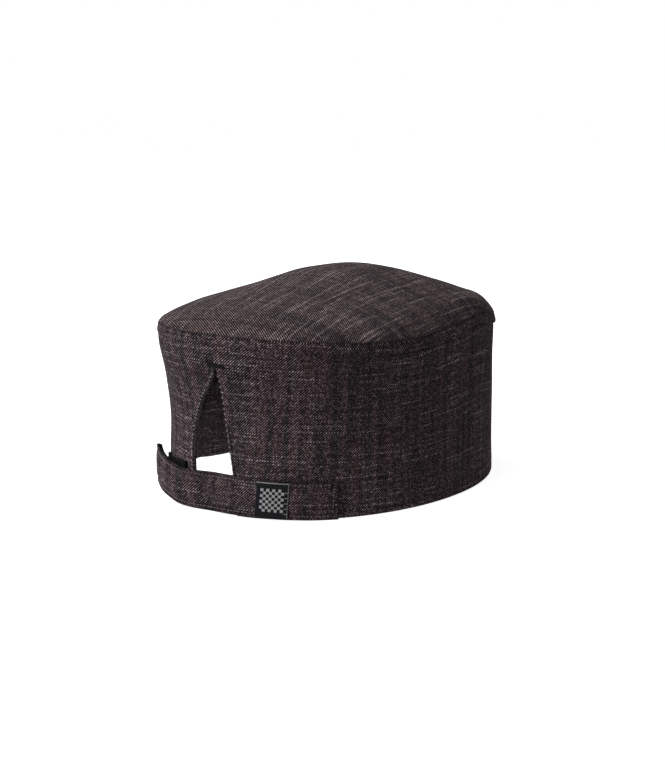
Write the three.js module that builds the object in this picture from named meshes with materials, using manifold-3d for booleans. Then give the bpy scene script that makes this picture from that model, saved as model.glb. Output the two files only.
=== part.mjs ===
// Skull cap: a domed oval top panel on a tall round wall. The wall is open at the back in a slit
// that a short strap closes. Millimetres, +Z up, front of the cap towards +Y, slit towards -Y.
import * as THREE from 'three';
import { mergeVertices } from 'three/addons/utils/BufferGeometryUtils.js';
import Module from 'manifold-3d';

const wasm = await Module();
wasm.setup();

// Cloth and tape
const CLOTH = 2.0;
const TAPE = 1.5;
const LABEL_CLOTH = 0.8;
const CLEARANCE = 0.3;

// Wall: an oval rim below, a squarer oval seam above, drawn in at the back
const RIM_HALF_WIDTH = 82.4;
const RIM_HALF_LENGTH = 107.5;
const SEAM_HALF_WIDTH = 74.8;
const SEAM_HALF_LENGTH = 96.0;
const SEAM_FORWARD = 5.0;
const WALL_HEIGHT = 87.3;
const BACK_PINCH = 13.8;
const RIM_SQUARENESS = 2.06;
const SEAM_SQUARENESS = 2.53;
const PINCH_REACH = 80;

// The rim is pulled up along the left rear, with the end of the strap
const RIM_RISE = 3.4;

// Crown: how far the top panel rises over the seam, and leans and puffs out to the right front
const CROWN_RISE = 26.0;
const CROWN_LEAN = 1.4;
const CROWN_PUFF = 3.8;
const PUFF_TURN = 125;
const PUFF_REACH = 43;

// Slit at the back, and the strap across it
const SLIT_HEIGHT = 71;
const SLIT_LEFT = 20.5;
const SLIT_RIGHT = 12;
const STRAP_WIDTH = 19;
const STRAP_CLOTH = 1.6;
const STRAP_RIGHT = 62.5;
const STRAP_LEFT = 58;
const STRAP_ABOVE_RIM = 1.2;
const STRAP_SLACK = 1.4;
const PATCH_START = 22;
const PATCH_LENGTH = 27;
const PATCH_WIDTH = 19;
const PATCH_ABOVE_STRAP = 0.8;
const HOOK_START = 26;
const HOOK_LENGTH = 29;
const HOOK_WIDTH = 17;
const LABEL_WIDTH = 15.5;
const LABEL_HEIGHT = 17;
const LABEL_START = 23;

// How much of the back pinch is left at each share of the wall's height
const PINCH_BY_HEIGHT = [
  { at: 0.0, share: 1.12 },
  { at: 0.12, share: 1.05 },
  { at: 0.25, share: 0.99 },
  { at: 0.45, share: 0.9 },
  { at: 0.7, share: 0.5 },
  { at: 0.9, share: 0.05 },
  { at: 1.0, share: 0.0 },
];

// How much higher or lower the seam runs round the cap, as a share of the wall's height, by degrees
// from the back: it sags at the right rear, then rises to a soft corner on the right side
const SEAM_WANDER = [
  { at: -180, share: 0.0 },
  { at: -90, share: 0.018 },
  { at: 0, share: 0.0 },
  { at: 30, share: -0.009 },
  { at: 68, share: -0.034 },
  { at: 80, share: -0.029 },
  { at: 90, share: -0.002 },
  { at: 99, share: 0.032 },
  { at: 107, share: 0.037 },
  { at: 116, share: 0.01 },
  { at: 124, share: -0.008 },
  { at: 145, share: -0.01 },
  { at: 180, share: 0.0 },
];

// The crown's height and its puff, as shares of its rise and of its puff, by share of the way from
// its middle to the seam
const CROWN_PROFILE = [
  { at: 0.0, height: 1.0, puff: 0.0 },
  { at: 0.2, height: 0.97, puff: 0.05 },
  { at: 0.35, height: 0.84, puff: 0.25 },
  { at: 0.5, height: 0.675, puff: 0.5 },
  { at: 0.65, height: 0.525, puff: 0.52 },
  { at: 0.8, height: 0.355, puff: 0.6 },
  { at: 0.9, height: 0.2, puff: 1.0 },
  { at: 0.96, height: 0.09, puff: 0.6 },
  { at: 1.0, height: 0.0, puff: 0.0 },
];

// Share of the rim's rise by degrees from the back
const RISE_ROUND = [
  { at: -180, share: 0.0 },
  { at: -95, share: 0.0 },
  { at: -86, share: 0.35 },
  { at: -77, share: 1.0 },
  { at: -40, share: 1.0 },
  { at: -26, share: 0.6 },
  { at: -14, share: 0.15 },
  { at: -5, share: 0.0 },
  { at: 180, share: 0.0 },
];

// The slit's two edges, as shares of its reach to the left and right, by share of its height
const SLIT_EDGES = [
  { at: 0.0, left: 0.98, right: 1.0 },
  { at: 0.3, left: 1.0, right: 0.69 },
  { at: 0.47, left: 0.99, right: 0.43 },
  { at: 0.64, left: 0.83, right: 0.24 },
  { at: 0.78, left: 0.56, right: 0.17 },
  { at: 0.9, left: 0.24, right: 0.08 },
];

// Steps of the meshes
const ROUND_STEPS = 80;
const WALL_ROWS = 9;
const CROWN_ROWS = 11;
const STRAP_STEP = 5;
const STRAP_ROWS = 3;

// A smooth curve through the rows of a table: a cubic with the slope of its neighbours at each row
function along(table, column, at) {
  const last = table.length - 1;
  const next = THREE.MathUtils.clamp(table.findIndex((row) => row.at > at), 1, last);
  const row = at >= table[last].at ? last - 1 : next - 1;
  const slope = (index) => {
    const before = table[Math.max(index - 1, 0)];
    const after = table[Math.min(index + 1, last)];
    return (after[column] - before[column]) / (after.at - before.at);
  };
  const span = table[row + 1].at - table[row].at;
  const u = THREE.MathUtils.clamp((at - table[row].at) / span, 0, 1);
  const start = (2 * u ** 3 - 3 * u ** 2 + 1) * table[row][column];
  const end = (3 * u ** 2 - 2 * u ** 3) * table[row + 1][column];
  const leaving = (u ** 3 - 2 * u ** 2 + u) * span * slope(row);
  const arriving = (u ** 3 - u ** 2) * span * slope(row + 1);
  return start + end + leaving + arriving;
}

// A point of a squared oval. The turn goes round from the back (0) over the right (90) to the front.
function oval(halfWidth, halfLength, squareness, turn) {
  const power = 2 / squareness;
  const side = Math.sin(THREE.MathUtils.degToRad(turn));
  const back = Math.cos(THREE.MathUtils.degToRad(turn));
  return new THREE.Vector2(
    halfWidth * Math.sign(side) * Math.abs(side) ** power,
    -halfLength * Math.sign(back) * Math.abs(back) ** power,
  );
}

// Turns are kept between -180 and 180 degrees
function wrapped(turn) {
  return THREE.MathUtils.euclideanModulo(turn + 180, 360) - 180;
}

// The wall's outer outline in plan at a share of its height
function wallOutline(turn, height) {
  const rim = oval(RIM_HALF_WIDTH, RIM_HALF_LENGTH, RIM_SQUARENESS, turn);
  const seam = oval(SEAM_HALF_WIDTH, SEAM_HALF_LENGTH, SEAM_SQUARENESS, turn);
  seam.y += SEAM_FORWARD;
  const point = rim.lerp(seam, height);
  const nearBack = Math.exp(-((wrapped(turn) / PINCH_REACH) ** 2));
  const pinch = BACK_PINCH * nearBack * along(PINCH_BY_HEIGHT, 'share', height);
  return point.setLength(point.length() - pinch);
}

// The wall's outline moved outwards by a distance, square to the outline
function wallOffset(turn, height, outwards) {
  const nudge = 0.5;
  const before = wallOutline(turn - nudge, height);
  const after = wallOutline(turn + nudge, height);
  const tangent = after.sub(before).normalize();
  return wallOutline(turn, height).add(new THREE.Vector2(tangent.y, -tangent.x).multiplyScalar(outwards));
}

// Height of the seam at a turn
function seamHeight(turn) {
  return WALL_HEIGHT * (1 + along(SEAM_WANDER, 'share', wrapped(turn)));
}

// Height of the rim at a turn
function rimHeight(turn) {
  return RIM_RISE * Math.max(0, along(RISE_ROUND, 'share', wrapped(turn)));
}

// A point on or off the wall's outer face, by turn, height in millimetres and distance outwards
function wallPoint(turn, z, outwards) {
  const plan = wallOffset(turn, THREE.MathUtils.clamp(z / seamHeight(turn), 0, 1), outwards);
  return new THREE.Vector3(plan.x, plan.y, z);
}

// A closed solid from an outer and an inner face. The function place gives a point of either face
// from two shares, the first round the cap and the second up it. A ring has no ends.
function clothSolid(steps, rows, place, ring) {
  const columns = ring ? steps : steps + 1;
  const positions = [];
  for (const inner of [false, true]) {
    for (let i = 0; i < columns; i += 1) {
      for (let j = 0; j <= rows; j += 1) {
        positions.push(...place(i / steps, j / rows, inner).toArray());
      }
    }
  }
  const vertex = (i, j, inner) => (inner ? columns : 0) * (rows + 1) + (i % columns) * (rows + 1) + j;
  const faces = [];
  const quad = (a, b, c, d) => faces.push([a, b, c], [a, c, d]);
  for (let i = 0; i < steps; i += 1) {
    for (let j = 0; j < rows; j += 1) {
      quad(vertex(i, j, false), vertex(i + 1, j, false), vertex(i + 1, j + 1, false), vertex(i, j + 1, false));
      quad(vertex(i, j + 1, true), vertex(i + 1, j + 1, true), vertex(i + 1, j, true), vertex(i, j, true));
    }
    quad(vertex(i, 0, true), vertex(i + 1, 0, true), vertex(i + 1, 0, false), vertex(i, 0, false));
    quad(vertex(i, rows, false), vertex(i + 1, rows, false), vertex(i + 1, rows, true), vertex(i, rows, true));
  }
  for (let j = 0; j < rows && !ring; j += 1) {
    quad(vertex(0, j, true), vertex(0, j, false), vertex(0, j + 1, false), vertex(0, j + 1, true));
    quad(vertex(steps, j, false), vertex(steps, j, true), vertex(steps, j + 1, true), vertex(steps, j + 1, false));
  }
  const geometry = new THREE.BufferGeometry();
  geometry.setAttribute('position', new THREE.Float32BufferAttribute(positions, 3));
  geometry.setIndex(faces.flat());
  return withoutSlivers(mergeVertices(geometry));
}

// The same geometry without the triangles that merging its vertices has closed up
function withoutSlivers(geometry) {
  const index = geometry.getIndex().array;
  const kept = [];
  for (let k = 0; k < index.length; k += 3) {
    const [a, b, c] = index.slice(k, k + 3);
    if (a !== b && b !== c && c !== a) {
      kept.push(a, b, c);
    }
  }
  geometry.setIndex(kept);
  return geometry;
}

function toManifold(geometry) {
  const merged = geometry.clone();
  merged.deleteAttribute('normal');
  merged.deleteAttribute('uv');
  const welded = mergeVertices(merged);
  return new wasm.Manifold(new wasm.Mesh({
    numProp: 3,
    vertProperties: new Float32Array(welded.getAttribute('position').array),
    triVerts: new Uint32Array(welded.getIndex().array),
  }));
}

function toGeometry(manifold) {
  const mesh = manifold.getMesh();
  const geometry = new THREE.BufferGeometry();
  geometry.setAttribute('position', new THREE.Float32BufferAttribute(mesh.vertProperties, 3));
  geometry.setIndex(Array.from(mesh.triVerts));
  return geometry;
}

// The wedge of air that the slit leaves in the back of the wall
function slitWedge() {
  const below = -CLOTH;
  const outline = new THREE.Shape();
  outline.moveTo(-SLIT_LEFT * SLIT_EDGES[0].left, below);
  outline.lineTo(SLIT_RIGHT * SLIT_EDGES[0].right, below);
  for (const edge of SLIT_EDGES) {
    outline.lineTo(SLIT_RIGHT * edge.right, SLIT_HEIGHT * edge.at);
  }
  outline.lineTo(0, SLIT_HEIGHT);
  for (const edge of [...SLIT_EDGES].reverse()) {
    outline.lineTo(-SLIT_LEFT * edge.left, SLIT_HEIGHT * edge.at);
  }
  const wedge = new THREE.ExtrudeGeometry(outline, { depth: 2 * RIM_HALF_LENGTH, bevelEnabled: false });
  return wedge.rotateX(Math.PI / 2);
}

function sideBand() {
  const place = (round, up, inner) => {
    const turn = 360 * round - 180;
    const z = THREE.MathUtils.lerp(rimHeight(turn), seamHeight(turn), up);
    return wallPoint(turn, z, inner ? -CLOTH : 0);
  };
  const ring = clothSolid(ROUND_STEPS, WALL_ROWS, place, true);
  return toGeometry(toManifold(ring).subtract(toManifold(slitWedge())));
}

// The crown stands on the wall's top edge and thins from a flat rim to the cloth's thickness
function crownTop() {
  const middle = new THREE.Vector2(0, SEAM_FORWARD);
  const place = (round, inwards, inner) => {
    const turn = 360 * round - 180;
    const out = 1 - inwards;
    const plan = wallOffset(turn, 1, inner ? -CLOTH : 0).sub(middle).multiplyScalar(out).add(middle);
    const seam = THREE.MathUtils.lerp(WALL_HEIGHT, seamHeight(turn), out ** 2);
    const dome = CROWN_RISE * along(CROWN_PROFILE, 'height', out);
    const off = wrapped(turn - PUFF_TURN);
    const lean = CROWN_LEAN * Math.cos(THREE.MathUtils.degToRad(off)) * 4 * out * inwards;
    const puff = CROWN_PUFF * Math.exp(-((off / PUFF_REACH) ** 2)) * along(CROWN_PROFILE, 'puff', out);
    const under = inner ? CLOTH * (1 - out ** 8) : 0;
    return new THREE.Vector3(plan.x, plan.y, seam + CLEARANCE + dome + lean + puff - under);
  };
  return clothSolid(ROUND_STEPS, CROWN_ROWS, place, true);
}

// Turn of the point that lies a given way along the wall from the back, to the right if positive
function turnAlong(way, z) {
  const step = way < 0 ? -0.5 : 0.5;
  let turn = 0;
  let left = Math.abs(way);
  let stride = wallPoint(0, z, 0).distanceTo(wallPoint(step, z, 0));
  while (left > stride) {
    left -= stride;
    turn += step;
    stride = wallPoint(turn, z, 0).distanceTo(wallPoint(turn + step, z, 0));
  }
  return turn + step * (left / stride);
}

const STRAP_MIDDLE = STRAP_ABOVE_RIM + STRAP_WIDTH / 2;
const PATCH_MIDDLE = STRAP_MIDDLE + PATCH_ABOVE_STRAP;
const HOOK_STANDOFF = CLEARANCE + TAPE + CLEARANCE + STRAP_SLACK;
const STRAP_STANDOFF = HOOK_STANDOFF + TAPE + CLEARANCE;

// How far the strap has lifted off the wall: not at all where it is sewn, fully over the tapes
function lifted(way) {
  return THREE.MathUtils.smoothstep(-way, 0, PATCH_START);
}

// Distance of the strap's inner face from the wall
function strapStandoff(way) {
  return THREE.MathUtils.lerp(CLEARANCE, STRAP_STANDOFF, lifted(way));
}

// How far the strap lies above or below its usual height: it drops to the rim at its sewn end
function strapShift(way, turn) {
  return rimHeight(turn) - STRAP_ABOVE_RIM * THREE.MathUtils.smoothstep(way, 0, STRAP_RIGHT);
}

// A strip bent round the wall, from one way along it to another. It follows the wall's slope, or
// stands upright where the function upright says 1.
function strip(from, to, middle, width, thickness, standoff, upright) {
  const steps = Math.max(2, Math.round((to - from) / STRAP_STEP));
  const place = (round, up, inner) => {
    const way = THREE.MathUtils.lerp(from, to, round);
    const turn = turnAlong(way, middle);
    const z = middle + width * (up - 0.5) + strapShift(way, turn);
    const seat = THREE.MathUtils.lerp(z, middle, upright(way));
    return wallPoint(turn, seat, standoff(way) + (inner ? 0 : thickness)).setZ(z);
  };
  return clothSolid(steps, STRAP_ROWS, place, false);
}

function strap() {
  return strip(-STRAP_LEFT, STRAP_RIGHT, STRAP_MIDDLE, STRAP_WIDTH, STRAP_CLOTH, strapStandoff, lifted);
}

function label() {
  const end = LABEL_START + LABEL_WIDTH;
  const standoff = (way) => strapStandoff(way) + STRAP_CLOTH + CLEARANCE;
  return strip(LABEL_START, end, STRAP_MIDDLE, LABEL_HEIGHT, LABEL_CLOTH, standoff, lifted);
}

function hookTape() {
  const end = -HOOK_START - HOOK_LENGTH;
  return strip(end, -HOOK_START, STRAP_MIDDLE, HOOK_WIDTH, TAPE, () => HOOK_STANDOFF, lifted);
}

function loopPatch() {
  const end = -PATCH_START - PATCH_LENGTH;
  return strip(end, -PATCH_START, PATCH_MIDDLE, PATCH_WIDTH, TAPE, () => CLEARANCE, () => 0);
}

const cloth = new THREE.MeshStandardMaterial({ color: 0x453c40, roughness: 0.95, metalness: 0 });
const labelCloth = new THREE.MeshStandardMaterial({ color: 0x16161a, roughness: 0.85, metalness: 0 });
const tape = new THREE.MeshStandardMaterial({ color: 0x1b1b1d, roughness: 1, metalness: 0 });

function piece(name, geometry, material) {
  const mesh = new THREE.Mesh(geometry, material);
  mesh.name = name;
  return mesh;
}

const cap = new THREE.Group();
cap.add(
  piece('crown_top', crownTop(), cloth),
  piece('side_band', sideBand(), cloth),
  piece('strap', strap(), cloth),
  piece('label', label(), labelCloth),
  piece('loop_patch', loopPatch(), tape),
  piece('hook_tape', hookTape(), tape),
);

// The origin lies below the middle of the whole cap
const middleOfCap = new THREE.Box3().setFromObject(cap).getCenter(new THREE.Vector3());
cap.position.set(-middleOfCap.x, -middleOfCap.y, 0);

export default cap;
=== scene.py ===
import math
from collections import namedtuple

import bpy
import numpy as np
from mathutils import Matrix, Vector, noise


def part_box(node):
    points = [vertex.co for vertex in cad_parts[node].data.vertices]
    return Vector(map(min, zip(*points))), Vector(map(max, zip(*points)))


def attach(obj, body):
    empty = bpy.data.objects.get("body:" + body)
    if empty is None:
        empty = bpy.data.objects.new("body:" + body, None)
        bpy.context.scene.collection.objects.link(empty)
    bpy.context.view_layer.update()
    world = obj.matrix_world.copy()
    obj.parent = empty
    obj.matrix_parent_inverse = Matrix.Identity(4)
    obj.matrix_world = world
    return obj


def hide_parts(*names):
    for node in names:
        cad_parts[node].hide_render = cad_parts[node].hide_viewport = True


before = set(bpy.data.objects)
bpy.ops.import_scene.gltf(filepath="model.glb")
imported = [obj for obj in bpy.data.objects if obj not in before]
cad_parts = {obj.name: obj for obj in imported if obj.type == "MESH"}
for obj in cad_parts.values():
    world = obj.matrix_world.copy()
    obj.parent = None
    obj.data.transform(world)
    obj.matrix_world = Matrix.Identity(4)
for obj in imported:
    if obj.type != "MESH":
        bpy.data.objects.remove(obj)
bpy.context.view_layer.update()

MM = 0.001

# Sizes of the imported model
CLOTH = 2.0
TAPE = 1.5
LABEL_CLOTH = 0.8
CLEARANCE = 0.3
RIM_HALF_WIDTH = 82.4
RIM_HALF_LENGTH = 107.5
SEAM_HALF_WIDTH = 74.8
SEAM_HALF_LENGTH = 96.0
SEAM_FORWARD = 5.0
WALL_HEIGHT = 87.3
BACK_PINCH = 13.8
RIM_SQUARENESS = 2.06
SEAM_SQUARENESS = 2.53
PINCH_REACH = 80
RIM_RISE = 3.4
CROWN_RISE = 26.0
CROWN_LEAN = 1.4
CROWN_PUFF = 3.8
PUFF_TURN = 125
PUFF_REACH = 43
SLIT_HEIGHT = 71
SLIT_LEFT = 20.5
SLIT_RIGHT = 12
STRAP_WIDTH = 19
STRAP_CLOTH = 1.6
STRAP_RIGHT = 62.5
STRAP_LEFT = 58
STRAP_ABOVE_RIM = 1.2
STRAP_SLACK = 1.4
PATCH_START = 22
PATCH_LENGTH = 27
PATCH_WIDTH = 19
PATCH_ABOVE_STRAP = 0.8
HOOK_START = 26
HOOK_LENGTH = 29
HOOK_WIDTH = 17
LABEL_WIDTH = 15.5
LABEL_HEIGHT = 17
LABEL_START = 23

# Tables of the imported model, each row a place and its share
PINCH_BY_HEIGHT = ((0, 1.12), (0.12, 1.05), (0.25, 0.99), (0.45, 0.9), (0.7, 0.5), (0.9, 0.05), (1, 0))
SEAM_WANDER = (
    (-180, 0), (-90, 0.018), (0, 0), (30, -0.009), (68, -0.034), (80, -0.029), (90, -0.002),
    (99, 0.032), (107, 0.037), (116, 0.01), (124, -0.008), (145, -0.01), (180, 0),
)
CROWN_HEIGHT = (
    (0, 1), (0.2, 0.97), (0.35, 0.84), (0.5, 0.675), (0.65, 0.525), (0.8, 0.355), (0.9, 0.2),
    (0.96, 0.09), (1, 0),
)
CROWN_PUFFS = (
    (0, 0), (0.2, 0.05), (0.35, 0.25), (0.5, 0.5), (0.65, 0.52), (0.8, 0.6), (0.9, 1), (0.96, 0.6),
    (1, 0),
)
RISE_ROUND = (
    (-180, 0), (-95, 0), (-86, 0.35), (-77, 1), (-40, 1), (-26, 0.6), (-14, 0.15), (-5, 0), (180, 0),
)
SLIT_LEFT_EDGE = ((0, 0.98), (0.3, 1), (0.47, 0.99), (0.64, 0.83), (0.78, 0.56), (0.9, 0.24), (1, 0))
SLIT_RIGHT_EDGE = ((0, 1), (0.3, 0.69), (0.47, 0.43), (0.64, 0.24), (0.78, 0.17), (0.9, 0.08), (1, 0))

# The values from here on are details that only the looks have

# Flat length of the wall, and the way along it over which the cloth makes room for the slit
WALL_LENGTH = 575.0
SLIT_SPREAD = 110.0

# Radii of the rounded edges at the rim, at the seam and at the slit's hems
EDGE_ROUND = 0.9
SEAM_ROUND = 0.6
HEM_ROUND = 1.4

# Turned hems of the slit: width, extra cloth, swell and the ditch beside them
HEM_WIDTH = 5.0
HEM_EXTRA = 1.0
HEM_SWELL = 0.12
HEM_DITCH = 0.22

# Fold along the slit's right edge: its way from the edge and its depth
FOLD_LINE = 2.3
FOLD_DEPTH = 0.9

# Curl of the slit's left edge towards the head: how far it reaches along the cloth and up the wall, its
# depth, and how much further its tip comes out all the way up and near the rim
CURL_REACH = 2.4
CURL_HEIGHT = 34
CURL_DEPTH = 1.5
CURL_TIP = 1.5
LOW_TIP = 1.8

# Band between the seam and the row of stitches under it: depth, swell, and the groove at that row
BAND_DEPTH = 5.7
BAND_PROUD = 1.1
GROOVE = 0.95
GROOVE_WIDTH = 1.2

# Creases of the wall: turn, lowest and highest place over the rim, lean in degrees of turn over its
# height, and depth
CREASES = (
    (34, 64, 90, 2.0, 0.5), (58, 58, 90, -3.0, 0.7), (55, 34, 56, 5.0, 0.45), (73, 14, 44, -4.0, 0.35),
    (97, 52, 92, 3.0, 0.6), (128, 48, 90, -3.0, 0.5), (205, 50, 88, 3.0, 0.5), (262, 40, 86, -2.0, 0.5),
    (318, 54, 84, 2.5, 0.45),
)
CREASE_WIDTH = 3.4

# Soft waves of the wall, the crown and the strap: length, width, height and seed
WALL_WAVES = ((46.0, 60.0, 0.55, 9.1), (21.0, 34.0, 0.3, 2.7))
CROWN_WAVES = ((45, 60, 0.7, 3.1), (17, 30, 0.35, 8.4))
STRAP_WAVES = ((12.0, 9.0, 0.22, 6.6), (4.0, 5.0, 0.12, 1.6))

# Thickening of the strap's turned end, and sag of the loop patch's far top corner
STRAP_TURNED_IN = 1.5
PATCH_SAG = 3.2

# Rows of stitches: from one stitch to the next, and the gap after each
Row = namedtuple("Row", "pitch gap")
SEAM_ROW = Row(2.2, 0.9)
DITCH_ROW = Row(3.4, 0.5)
STRAP_SIDE_ROW = Row(2.0, 0.6)
STRAP_END_ROW = Row(2.6, 0.6)
SLIT_RIGHT_ROW = Row(2.7, 1.6)
SLIT_LEFT_ROW = Row(2.2, 1.0)

# Rows over the slit's left edge, each with its place across the thickness of the cloth
OVERCAST_ROWS = ((-0.3, Row(1.5, 0.7)), (0.05, Row(1.9, 0.7)), (0.38, Row(1.7, 0.7)))

# Radii of the threads
SEAM_THREAD = 0.22
DITCH_THREAD = 0.24
STRAP_THREAD = 0.3
SLIT_THREAD = 0.34
OVERCAST_THREAD = 0.2
TACK_THREAD = 0.3
LABEL_THREAD = 0.16

# Places of the rows: in from the strap's edges, sewn end and the slit's edges, and down in the seam
STITCH_INSET = 2.0
END_INSET = 3.0
SLIT_INSET = 0.9
DITCH_SUNK = 0.5

# Bar tack over the slit: reach to the left and right of the back's middle, lowest and highest place over
# the slit's top, drop to the right and way from thread to thread
TACK_LEFT = 4.2
TACK_RIGHT = 6.3
TACK_LOW = 0.5
TACK_HIGH = 2.9
TACK_DROP = 0.08
TACK_PITCH = 0.5

# Threads at the label's right end: lowest and highest, how many, and how far they reach in
LABEL_THREADS_LOW = -6.2
LABEL_THREADS_HIGH = 4.0
LABEL_THREADS = 5
LABEL_THREAD_REACH = 1.9

# Pitch of the weave's threads in the wall and strap, and along and across the crown
THREAD = 0.45
CROWN_WARP_PITCH = 0.42
CROWN_WEFT_PITCH = 0.61

# How cloth reflects
CLOTH_SPECULAR = 0.1
CLOTH_IOR = 1.2

# Label: a check's side, the checks in half the field, and the width of the painted highlight
# along its top and right edges
CHECK = 1.4
CHECKS_IN_HALF = 4
EDGE_HIGHLIGHT_WIDTH = 0.45

# Camera: place in metres, degrees down and round, and lens and sensor in millimetres
CAMERA_PLACE = (0.4129, -0.5714, 0.1789)
CAMERA_DOWN = 10.44
CAMERA_ROUND = 35.90
CAMERA_LENS = 62.2
CAMERA_SENSOR = 36

# Suns: name, strength, spread in degrees and the direction that each shines from
SUNS = (
    ("key", 1.7, 45, (-0.32, -0.95, 0.38)),
    ("overhead", 1.9, 45, (-0.80, -0.16, 0.94)),
)

# Small lamp under the crown: place and size in metres, strength, and cone in degrees
LAMP_PLACE = (-0.035, -0.015, 0.082)
LAMP_SIZE = 0.012
LAMP_STRENGTH = 0.2
LAMP_CONE = 75

# White surround as the camera sees it and as it lights the cap, and the floor's own glow and half width
SURROUND_SEEN = 1.0
SURROUND_LIGHT = 0.24
FLOOR_GLOW = 0.85
FLOOR_HALF = 20.0

# The group was centred on the whole cap when it was packed
SHIFT = np.array([0.0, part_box("side_band")[1].y / MM - RIM_HALF_LENGTH, 0.0])


def along(table, at):
    """A smooth curve through the rows of a table: a cubic with the slope of its neighbours at each row."""
    x, y = np.array(table, float).T
    at = np.asarray(at, float)
    last = len(x) - 1
    before = np.maximum(np.arange(len(x)) - 1, 0)
    after = np.minimum(np.arange(len(x)) + 1, last)
    slope = (y[after] - y[before]) / (x[after] - x[before])
    row = np.clip(np.searchsorted(x, at, side="right") - 1, 0, last - 1)
    span = x[row + 1] - x[row]
    u = np.clip((at - x[row]) / span, 0, 1)
    start = (2 * u**3 - 3 * u**2 + 1) * y[row] + (3 * u**2 - 2 * u**3) * y[row + 1]
    return start + (u**3 - 2 * u**2 + u) * span * slope[row] + (u**3 - u**2) * span * slope[row + 1]


def smooth(value, low, high):
    """0 below low, 1 above high and smooth between."""
    share = np.clip((np.asarray(value, float) - low) / (high - low), 0, 1)
    return share * share * (3 - 2 * share)


def blend(a, b, share):
    return a + (b - a) * share


def hill(value, middle, width):
    """1 at the middle, falling smoothly to nearly 0 one width away."""
    return np.exp(-(((np.asarray(value, float) - middle) / (0.5 * width)) ** 2))


def round_edge(distance, radius):
    """Share of the full thickness at a distance from a rounded edge."""
    share = np.clip(np.asarray(distance, float) / radius, 0, 1)
    return np.sqrt(1 - (1 - share) ** 2)


def ripple(x, y, seed):
    """Smooth noise from about -1 to 1 over arrays of places."""
    x, y = np.broadcast_arrays(np.asarray(x, float), np.asarray(y, float))
    flat = [noise.noise(Vector((a, b, seed))) for a, b in zip(x.ravel(), y.ravel())]
    return np.array(flat).reshape(x.shape)


def waves(table, x, y):
    """The sum of the soft waves of a table."""
    return sum(height * ripple(x / length, y / width, seed) for length, width, height, seed in table)


# The wall as a surface

def wrapped(turn):
    """The same turn, from -180 to 180."""
    return np.mod(np.asarray(turn, float) + 180, 360) - 180


def oval(half_width, half_length, squareness, turn):
    side, back = np.sin(np.radians(turn)), np.cos(np.radians(turn))
    power = 2 / squareness
    x = half_width * np.sign(side) * np.abs(side) ** power
    y = -half_length * np.sign(back) * np.abs(back) ** power
    return np.stack([x, y], -1)


def wall_outline(turn, height):
    """The wall's outer outline in plan at a share of its height."""
    turn, height = np.broadcast_arrays(np.asarray(turn, float), np.asarray(height, float))
    rim = oval(RIM_HALF_WIDTH, RIM_HALF_LENGTH, RIM_SQUARENESS, turn)
    seam = oval(SEAM_HALF_WIDTH, SEAM_HALF_LENGTH, SEAM_SQUARENESS, turn) + [0, SEAM_FORWARD]
    point = blend(rim, seam, height[..., None])
    near_back = np.exp(-((wrapped(turn) / PINCH_REACH) ** 2))
    pinch = BACK_PINCH * near_back * along(PINCH_BY_HEIGHT, height)
    return point * (1 - pinch / np.linalg.norm(point, axis=-1))[..., None]


def wall_offset(turn, height, outwards):
    """The wall's outline moved outwards, square to the outline."""
    nudge = 0.5
    tangent = wall_outline(turn + nudge, height) - wall_outline(turn - nudge, height)
    tangent /= np.linalg.norm(tangent, axis=-1, keepdims=True)
    normal = np.stack([tangent[..., 1], -tangent[..., 0]], -1)
    return wall_outline(turn, height) + normal * np.asarray(outwards, float)[..., None]


def seam_height(turn):
    return WALL_HEIGHT * (1 + along(SEAM_WANDER, wrapped(turn)))


def rim_height(turn):
    return RIM_RISE * np.maximum(0, along(RISE_ROUND, wrapped(turn)))


def wall_point(turn, z, outwards=0.0):
    """A point on or off the wall's outer face, by turn, height and distance outwards."""
    turn, z, outwards = np.broadcast_arrays(*(np.asarray(v, float) for v in (turn, z, outwards)))
    plan = wall_offset(turn, np.clip(z / seam_height(turn), 0, 1), outwards)
    return np.concatenate([plan, z[..., None]], -1)


def ways_round(z_at):
    """Fine turns from the back once round, and the way along the wall to each, at heights z_at(turn)."""
    turns = np.linspace(0, 360, 2881)
    steps = np.diff(wall_point(turns, z_at(turns))[:, :2], axis=0)
    return turns, np.concatenate([[0], np.cumsum(np.linalg.norm(steps, axis=1))])


def level_ways(z):
    """Fine turns once round and the ways to them at one level height."""
    return ways_round(lambda turn: np.full_like(turn, z))


def slit_ways(turns, ways, z):
    """How far the slit's edges lie from the back's middle, to the right and to the left."""
    x = wall_point(turns, z)[:, 0]
    share = z / SLIT_HEIGHT
    right, left = SLIT_RIGHT * along(SLIT_RIGHT_EDGE, share), SLIT_LEFT * along(SLIT_LEFT_EDGE, share)
    near = len(turns) // 5
    to_right = np.interp(right, x[:near], ways[:near])
    to_left = ways[-1] - np.interp(-left, x[-near:], ways[-near:])
    return to_right, to_left


# Meshes

def spaced(length, step, edges):
    """Places from 0 to length, a step apart, with extra places near both ends."""
    middle = np.linspace(edges[-1], length - edges[-1], max(2, round((length - 2 * edges[-1]) / step)))
    return np.concatenate([edges[:-1], middle, length - np.array(edges[:-1])[::-1]])


def put_in_scene(thing):
    bpy.context.scene.collection.objects.link(thing)
    return thing


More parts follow.
